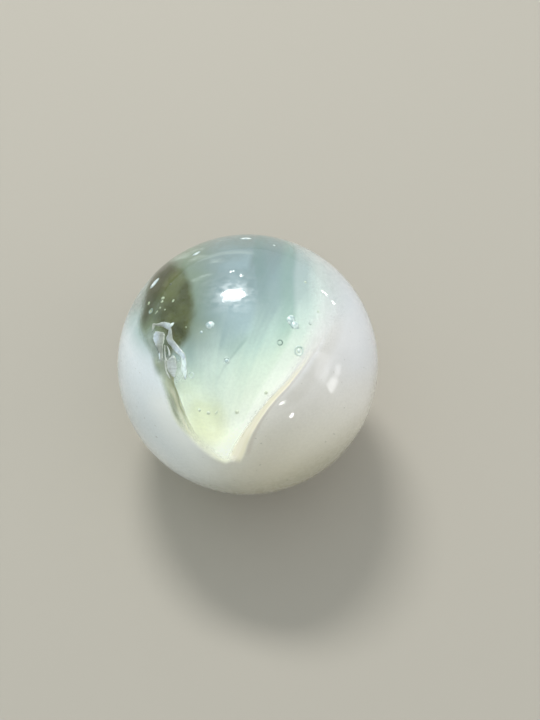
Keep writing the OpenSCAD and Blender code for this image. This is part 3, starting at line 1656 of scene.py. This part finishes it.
@dataclass
class FoldAir:
    """The silvery films of air in the fold."""

    ball: Ball
    fold: Fold
    finish: AirFinish = AirFinish()
    flakes: dict[str, Flake] = field(
        default_factory=lambda: {
            "ribbon": Flake(
                (
                    ((0.45, 0.35), (0.50, 0.65)),
                    ((0.75, 0.25), (0.80, 0.65)),
                    ((0.95, 0.12), (1.00, 0.66)),
                    ((1.25, 0.26), (1.20, 0.74)),
                    ((1.55, 0.48), (1.45, 0.92)),
                    ((1.85, 0.70), (1.75, 1.12)),
                    ((2.10, 0.90), (2.05, 1.32)),
                    ((2.35, 1.10), (2.30, 1.45)),
                    ((2.65, 1.10), (2.70, 1.45)),
                    ((2.95, 1.00), (3.00, 1.40)),
                    ((3.25, 1.00), (3.30, 1.35)),
                    ((3.50, 1.05), (3.50, 1.25)),
                    ((3.70, 1.07), (3.70, 1.12)),
                ),
                tones=(
                    (0.45, 0.4),
                    (0.5, 0.3),
                    (0.6, 0.45),
                    (0.8, 0.6),
                    (1.0, 0.85),
                    (1.1, 1.0),
                    (0.9, 0.8),
                ),
            ),
            "bar": Flake(
                (
                    ((0.30, -0.85), (0.30, -0.70)),
                    ((0.05, -0.80), (0.10, -0.60)),
                    ((-0.15, -0.75), (0.05, -0.50)),
                    ((-0.05, -0.40), (0.12, -0.32)),
                    ((-0.05, 0.00), (0.20, -0.05)),
                    ((0.05, 0.35), (0.35, 0.12)),
                    ((0.20, 0.60), (0.50, 0.35)),
                    ((0.40, 0.68), (0.60, 0.45)),
                ),
                tones=((0.3, 0.3), (0.3, 0.3), (0.35, 0.3), (0.5, 0.5), (0.75, 0.7), (0.6, 0.5)),
                warm=0.25,
            ),
            "tip": Flake(
                (
                    ((0.30, 0.52), (0.42, 0.60)),
                    ((0.20, 0.72), (0.40, 0.79)),
                    ((0.20, 0.86), (0.27, 0.90)),
                ),
                tones=((0.9, 0.9), (1.1, 1.1)),
            ),
            "patch": Flake(
                (
                    ((0.34, -0.56), (0.55, -0.04)),
                    ((0.48, -0.70), (0.70, 0.02)),
                    ((0.64, -0.82), (0.85, 0.02)),
                    ((0.80, -0.82), (1.05, -0.02)),
                    ((1.00, -0.75), (1.25, -0.06)),
                    ((1.22, -0.66), (1.42, -0.12)),
                    ((1.42, -0.56), (1.65, -0.18)),
                    ((1.66, -0.50), (1.85, -0.20)),
                    ((1.92, -0.46), (2.10, -0.26)),
                    ((2.25, -0.44), (2.30, -0.36)),
                ),
                tones=(
                    (0.5, 0.3),
                    (0.8, 0.05),
                    (0.9, 0.1),
                    (0.6, 0.1),
                    (0.35, 0.2),
                    (0.4, 0.2),
                    (0.3, 0.3),
                ),
            ),
            "spark": Flake(
                (
                    ((1.70, -0.52), (1.70, -0.40)),
                    ((1.90, -0.52), (1.90, -0.38)),
                    ((2.12, -0.48), (2.14, -0.42)),
                ),
                tones=((0.6, 0.6), (1.0, 0.9), (0.6, 0.6)),
            ),
            "thread": Flake(
                (
                    ((1.35, -0.02), (1.37, 0.06)),
                    ((1.70, -0.10), (1.72, -0.02)),
                    ((2.00, -0.12), (2.02, -0.04)),
                    ((2.20, -0.11), (2.25, 0.04)),
                    ((2.40, 0.00), (2.40, 0.12)),
                ),
                tones=((0.4, 0.4), (0.6, 0.6)),
                warm=0.7,
            ),
            "fleck": Flake(
                (
                    ((1.43, 0.15), (1.43, 0.19)),
                    ((1.60, 0.19), (1.60, 0.28)),
                    ((1.80, 0.20), (1.80, 0.35)),
                    ((1.95, 0.19), (2.00, 0.37)),
                    ((2.10, 0.20), (2.10, 0.32)),
                ),
                tones=((0.5, 0.5), (0.8, 0.6), (0.7, 0.6)),
                warm=0.7,
            ),
            "lip": Flake(
                (
                    ((2.10, -0.06), (2.15, 0.04)),
                    ((2.45, -0.20), (2.48, -0.08)),
                    ((2.85, -0.26), (2.86, -0.13)),
                    ((3.15, -0.18), (3.18, -0.06)),
                    ((3.40, -0.07), (3.42, -0.02)),
                ),
                tones=((0.4, 0.5), (0.6, 0.7), (0.5, 0.6)),
                warm=0.9,
            ),
            "facet": Flake(
                (
                    ((2.12, 0.52), (2.16, 0.70)),
                    ((2.25, 0.15), (2.30, 0.78)),
                    ((2.40, -0.10), (2.54, 0.81)),
                    ((2.62, -0.16), (2.82, 0.75)),
                    ((2.88, -0.12), (3.02, 0.66)),
                    ((3.10, 0.02), (3.20, 0.53)),
                    ((3.35, 0.24), (3.42, 0.38)),
                ),
                tones=((0.6, 0.9), (0.6, 0.9), (0.5, 0.85), (0.45, 0.8), (0.4, 0.75)),
                warm=0.55,
                ragged=0.05,
            ),
        }
    )

    def build(self) -> bpy.types.Object:
        """Makes the piece.

        Returns:
            The films, as one piece.
        """
        bm = bmesh.new()
        for name, flake in self.flakes.items():
            flake.add(bm, self.ball, self.fold)
            log.info("fold air: %s", name)
        settle(bm)
        return add_piece("fold_air", bm, self.finish.build(self.ball))


class BubbleKind(Enum):
    """How a bubble looks."""

    BEAD = "bright bead"
    RING = "ring with a dark wall"
    SEED = "pale grey seed"
    MOTE = "dull pale mote"
    PIT = "dark pit"
    HALO = "ring with a pale wall"
    SPOT = "soft grey spot"


@dataclass(frozen=True)
class Bubble:
    """One bubble: bearing and height in degrees, depth and size in millimetres.

    A long bubble is stretch times as long as its size, and lies turn degrees round.
    """

    kind: BubbleKind
    bearing: float
    height: float
    depth: float
    size: float
    stretch: float = 1.0
    turn: float = 0.0


BEAD, RING, SEED, MOTE, PIT, HALO, SPOT = BubbleKind


@dataclass
class Bubbles:
    """Small bubbles and seeds in the clear glass under the skin.

    lumps is how uneven they are, flatness their height against their width, and ring_wall the
    thickness of a ring's wall against its radius.
    """

    ball: Ball
    lumps: float = 0.12
    flatness: float = 0.7
    ring_wall: float = 0.2
    bubbles: tuple[Bubble, ...] = (
        Bubble(BEAD, 216.7, 69.7, 0.35, 0.46, 1.1, 60),
        Bubble(BEAD, 216.4, 65.0, 0.30, 0.17),
        Bubble(BEAD, 333.0, 69.2, 0.35, 0.50, 1.2, 20),
        Bubble(BEAD, 330.0, 66.6, 0.32, 0.46, 1.2, 110),
        Bubble(RING, 304.4, 65.6, 0.30, 0.36),
        Bubble(HALO, 314.2, 58.2, 0.12, 0.62),
        Bubble(BEAD, 314.2, 58.2, 0.12, 0.20, 1.3, 80),
        Bubble(SPOT, 340.4, 61.3, 0.15, 0.20),
        Bubble(BEAD, 252.2, 60.3, 0.24, 0.26),
        Bubble(HALO, 251.6, 60.4, 0.36, 0.42),
        Bubble(HALO, 231.9, 48.5, 0.20, 0.38),
        Bubble(SEED, 244.1, 36.4, 0.20, 0.20),
        Bubble(SEED, 249.1, 36.6, 0.20, 0.22),
        Bubble(SEED, 253.3, 37.8, 0.20, 0.11, 2.4, 64),
        Bubble(SEED, 264.0, 39.7, 0.20, 0.24),
        Bubble(SEED, 281.1, 47.7, 0.15, 0.22),
        Bubble(SEED, 24.2, 62.3, 0.20, 0.16),
        Bubble(SEED, 354.6, 59.0, 0.15, 0.14),
        Bubble(SEED, 264.1, 20.6, 0.10, 0.26, 1.3, 10),
        # These four bright beads by the rim are partly bubbles and partly painted glints.
        Bubble(BEAD, 154.1, 39.0, 0.12, 0.46, 1.7, 154),
        Bubble(BEAD, 126.6, 49.8, 0.15, 0.30, 1.8, 170),
        Bubble(BEAD, 71.0, 53.0, 0.15, 0.17),
        Bubble(BEAD, 91.4, 49.0, 0.08, 0.32, 2.2, 175),
        Bubble(MOTE, 168.8, 50.0, 0.25, 0.22, 1.3, 84),
        Bubble(MOTE, 171.3, 49.9, 0.25, 0.18, 1.2, 82),
        Bubble(MOTE, 168.6, 41.0, 0.25, 0.20, 1.2, -173),
        Bubble(MOTE, 173.5, 56.3, 0.25, 0.15, 1.4, 152),
        Bubble(RING, 175.2, 43.6, 0.25, 0.36),
        Bubble(MOTE, 175.2, 43.6, 0.25, 0.16, 1.3, 176),
        Bubble(MOTE, 175.9, 49.3, 0.25, 0.15),
        Bubble(MOTE, 178.9, 52.2, 0.25, 0.10),
        Bubble(MOTE, 178.2, 47.3, 0.25, 0.10, 3.0, 123),
        Bubble(MOTE, 202.8, 60.7, 0.25, 0.12),
        Bubble(PIT, 157.5, 51.4, 0.25, 0.15, 1.3, -170),
    )

    def build(self) -> list[bpy.types.Object]:
        """Makes one piece for each kind.

        Returns:
            The pieces.
        """
        looks = {
            BEAD: BubbleFinish("bright_bubbles", srgb("BFCFD2"), srgb("F2FAF8"), 0.15, 0.1),
            RING: BubbleFinish("ringed_bubbles", srgb("7E9388"), srgb("B4C6BC")),
            SEED: BubbleFinish("pale_seeds", srgb("D2D9C4"), srgb("E4EAD8"), 0.8),
            MOTE: BubbleFinish("dull_motes", srgb("98A07E"), srgb("B9C29E"), 0.4),
            PIT: BubbleFinish("dark_pits", srgb("4E5440"), srgb("767F6C"), 0.5),
            HALO: BubbleFinish("pale_rings", srgb("BCCAC4"), srgb("DDE6E2"), 0.4),
            SPOT: BubbleFinish("grey_spots", srgb("A3AFAA"), srgb("B9C4BE"), 0.6),
        }
        pieces = []
        for kind, finish in looks.items():
            bm = bmesh.new()
            for bubble in self.bubbles:
                if bubble.kind is kind:
                    self._add(bm, bubble)
            settle(bm)
            pieces.append(add_piece(finish.name, bm, finish.build(self.ball)))
            pieces[-1].visible_shadow = False
        return pieces

    def _add(self, bm: bmesh.types.BMesh, bubble: Bubble) -> None:
        """Adds one bubble to a mesh.

        Args:
            bm: the mesh.
            bubble: what to add.
        """
        spot = self.ball.spot(bubble.bearing, bubble.height, bubble.depth)
        turn = (spot - self.ball.centre).to_track_quat("Z", "Y").to_matrix().to_4x4()
        half = bubble.size / 2 * MM
        place = (
            Matrix.Translation(spot)
            @ turn
            @ Matrix.Rotation(math.radians(bubble.turn), 4, "Z")
            @ Matrix.Diagonal((half * bubble.stretch, half, half * self.flatness, 1))
        )
        if bubble.kind in (RING, HALO):
            self._ring(bm, place)
            return
        made = bmesh.ops.create_icosphere(bm, subdivisions=3, radius=1.0)["verts"]
        for v in made:
            v.co *= 1 + self.lumps * noise.noise(v.co * 1.6 + Vector((bubble.bearing, 0, 0)))
        bmesh.ops.transform(bm, matrix=place, verts=made)

    def _ring(self, bm: bmesh.types.BMesh, place: Matrix) -> None:
        """Adds a round ring of radius one under a placement.

        Args:
            bm: the mesh; the points that are in it already are tagged and stay.
            place: the placement.
        """
        made = bmesh.ops.create_circle(
            bm,
            segments=12,
            radius=self.ring_wall,
            matrix=Matrix.Translation((1 - self.ring_wall, 0, 0))
            @ Matrix.Rotation(math.pi / 2, 4, "X"),
        )["verts"]
        bmesh.ops.spin(
            bm,
            geom=made + joined(made, "link_edges"),
            cent=(0, 0, 0),
            axis=(0, 0, 1),
            angle=2 * math.pi,
            steps=28,
            use_merge=True,
        )
        ring = [v for v in bm.verts if v.is_valid and not v.tag]
        bmesh.ops.transform(bm, matrix=place, verts=ring)
        for v in bm.verts:
            v.tag = True
        bmesh.ops.recalc_face_normals(bm, faces=bm.faces)


# ---------------------------------------------------------------------------------------------
# Studio
# ---------------------------------------------------------------------------------------------


WARM: Colour = (1, 0.99, 0.97)


@dataclass(frozen=True)
class Lamp:
    """A soft lamp, placed by the way it is seen from the ball.

    That way counts along the camera's right, up and back. Sizes and away count in ball radii,
    turn in degrees, and glow is the lamp's brightness. A square lamp is a rectangle, any other an
    ellipse. Without gloss it doesn't show in the polish, and without matt it shows only there.
    """

    name: str
    seen: tuple[float, float, float]
    width: float
    height: float
    glow: float
    turn: float = 0.0
    away: float = 30.0
    colour: Colour = (1, 1, 1)
    square: bool = False
    gloss: bool = True
    matt: bool = True


@dataclass
class Studio:
    """Floor, lamps, sky and camera."""

    ball: Ball
    tilt: float = 60.0
    camera_away: float = 12.0
    image: tuple[int, int] = (540, 720)
    ball_image_radius: float = 130.3
    ball_image_place: tuple[float, float] = (247.9, 364.5)
    floor_colour: Colour = srgb("A9A499")
    floor_roughness: float = 0.9
    floor_reach: float = 60.0
    sky_bright: Colour = (0.80, 0.86, 0.88)
    sky_dim: Colour = (0.56, 0.55, 0.52)
    sky_side: tuple[float, float, float] = (-0.75, 0.35, 0.56)
    lamps: tuple[Lamp, ...] = field(
        default=(
            Lamp("key", (-0.176, 0.878, 0.444), 10.6, 5.2, 40.0, -4.0, 30.0, WARM, gloss=False),
            Lamp("sheen", (-0.178, 0.877, 0.446), 7.9, 3.8, 130.0, -13.0, 30.1, matt=False),
            Lamp("sheen_middle", (-0.176, 0.878, 0.444), 9.4, 4.8, 13.0, -13.0, 30.2, matt=False),
            Lamp("sheen_edge", (-0.176, 0.878, 0.444), 10.8, 5.6, 5.0, -13.0, 30.3, matt=False),
            Lamp("sheen_top", (-0.142, 0.910, 0.388), 6.0, 2.4, 7.0, -2.0, 30.4, matt=False),
            Lamp("sheen_left", (-0.281, 0.822, 0.496), 3.2, 2.6, 8.0, 20.0, 30.4, matt=False),
            Lamp("sheen_low", (-0.150, 0.835, 0.530), 5.0, 2.2, 6.0, 6.0, 30.4, matt=False),
            Lamp("upper_tick", (-0.172, 0.984, 0.03), 2.4, 0.7, 16.0, 30.0),
            Lamp("upper_dot", (-0.075, 0.988, 0.135), 0.9, 2.0, 18.0),
            Lamp("right_tick", (0.714, 0.665, -0.210), 2.7, 0.9, 18.0, 35.0),
            Lamp("right_dot", (0.785, 0.568, -0.225), 1.3, 1.3, 18.0, 8.0),
            Lamp("low_tick", (0.470, -0.516, 0.716), 2.9, 0.9, 22.0, 16.0),
            Lamp("low_dot", (0.560, -0.648, 0.515), 1.9, 1.7, 22.0),
            Lamp("pane", (0.919, -0.034, 0.393), 7.6, 10.6, 1.9, -16.0, square=True),
            Lamp("pane_small", (0.990, -0.063, 0.122), 3.8, 3.4, 2.6, -30.0, square=True),
            Lamp("slat_low", (0.940, -0.264, 0.217), 1.5, 5.2, 5.5, 4.0, square=True),
            Lamp("slat_middle", (0.959, -0.220, 0.179), 1.6, 4.9, 5.5, 2.0, square=True),
            Lamp("slat_top", (0.974, -0.167, 0.153), 1.5, 3.9, 5.0, 8.0, square=True),
        )
    )

    def view_axes(self) -> Matrix:
        """Camera right, up and back as the columns of a matrix."""
        return Matrix.Rotation(math.radians(90 - self.tilt), 3, "X")

    def build(self) -> None:
        """Makes everything round the ball."""
        self._floor()
        self._sky()
        for lamp in self.lamps:
            self._lamp(lamp)
        self._camera()
        bpy.context.scene.view_settings.view_transform = "Standard"

    def _floor(self) -> None:
        """A wide plain floor that the ball touches."""
        bm = bmesh.new()
        place = Matrix.Translation(self.ball.centre - Vector((0, 0, self.ball.radius)))
        size = self.ball.radius * self.floor_reach
        bmesh.ops.create_grid(bm, x_segments=1, y_segments=1, size=size, matrix=place)
        finish = PlainFinish("floor", self.floor_colour, self.floor_roughness)
        floor = add_mesh("floor", bm, finish.build())

    def _sky(self) -> None:
        """Soft light from all round, brighter on one side."""
        sh = Shader(bpy.data.worlds.new("sky"))
        where = sh.add("ShaderNodeTexCoord").outputs["Generated"]
        towards = self.view_axes() @ Vector(self.sky_side).normalized()
        parts = {0: where, 1: tuple(towards)}
        facing = sh.add("ShaderNodeVectorMath", {"operation": "DOT_PRODUCT"}, parts)
        share = sh.value(facing.outputs["Value"]).step(-0.9, 0.9)
        colour = sh.mix(share, self.sky_dim, self.sky_bright)
        bpy.context.scene.world = sh.finish(sh.add("ShaderNodeBackground", {}, {"Color": colour}))

    def _lamp(self, lamp: Lamp) -> None:
        """Adds a lamp that faces the ball."""
        data = bpy.data.lights.new(lamp.name, "AREA")
        data.shape = "RECTANGLE" if lamp.square else "ELLIPSE"
        data.size = lamp.width * self.ball.radius
        data.size_y = lamp.height * self.ball.radius
        fill = 1.0 if lamp.square else math.pi / 4
        data.energy = lamp.glow * math.pi * fill * data.size * data.size_y
        data.color = lamp.colour
        axes = self.view_axes()
        back = (axes @ Vector(lamp.seen)).normalized()
        right = (axes.col[0] - back * axes.col[0].dot(back)).normalized()
        frame = Matrix((right, back.cross(right), back)).transposed()
        frame = frame @ Matrix.Rotation(math.radians(lamp.turn), 3, "Z")
        made = add_object(lamp.name, data)
        made.location = self.ball.centre + back * lamp.away * self.ball.radius
        made.rotation_euler = frame.to_euler()
        made.visible_glossy = lamp.gloss
        made.visible_diffuse = lamp.matt
        made.visible_transmission = lamp.matt

    def _camera(self) -> None:
        """Looks down on the ball at the tilt, with the ball left of the middle.

        The picture's sizes and places are in its own units, image wide and high.
        """
        data = bpy.data.cameras.new("camera")
        wide, high = self.image
        data.sensor_fit = "VERTICAL"
        data.sensor_height = 36.0
        focal = self.ball_image_radius * math.sqrt(self.camera_away**2 - 1)
        data.lens = focal / high * data.sensor_height
        away = self.camera_away * self.ball.radius
        data.clip_start = away * 0.05
        data.clip_end = away * 40
        axes = self.view_axes()
        x, y = self.ball_image_place
        right, up = (x - wide / 2) / focal, (high / 2 - y) / focal
        aim = Matrix.Rotation(math.atan(right), 3, "Y") @ Matrix.Rotation(-math.atan(up), 3, "X")
        camera = add_object("camera", data)
        camera.location = self.ball.centre + axes @ Vector((0, 0, away))
        camera.rotation_euler = (axes @ aim).to_euler()
        bpy.context.scene.camera = camera


def main() -> None:
    """Builds the pieces in order and reports each."""
    ball = Ball.from_frame()
    window = Window()
    fold = Fold()
    pieces = [
        Skin(ball, window, fold).build(),
        Heart(ball, window, fold).build(),
        FoldAir(ball, fold).build(),
        *Bubbles(ball).build(),
    ]
    for piece in pieces:
        log.info("%s: %d faces", piece.name, len(piece.data.polygons))
    Studio(ball).build()


if __name__ == "__main__":
    logging.basicConfig(level=logging.INFO)
    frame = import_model()
    main()
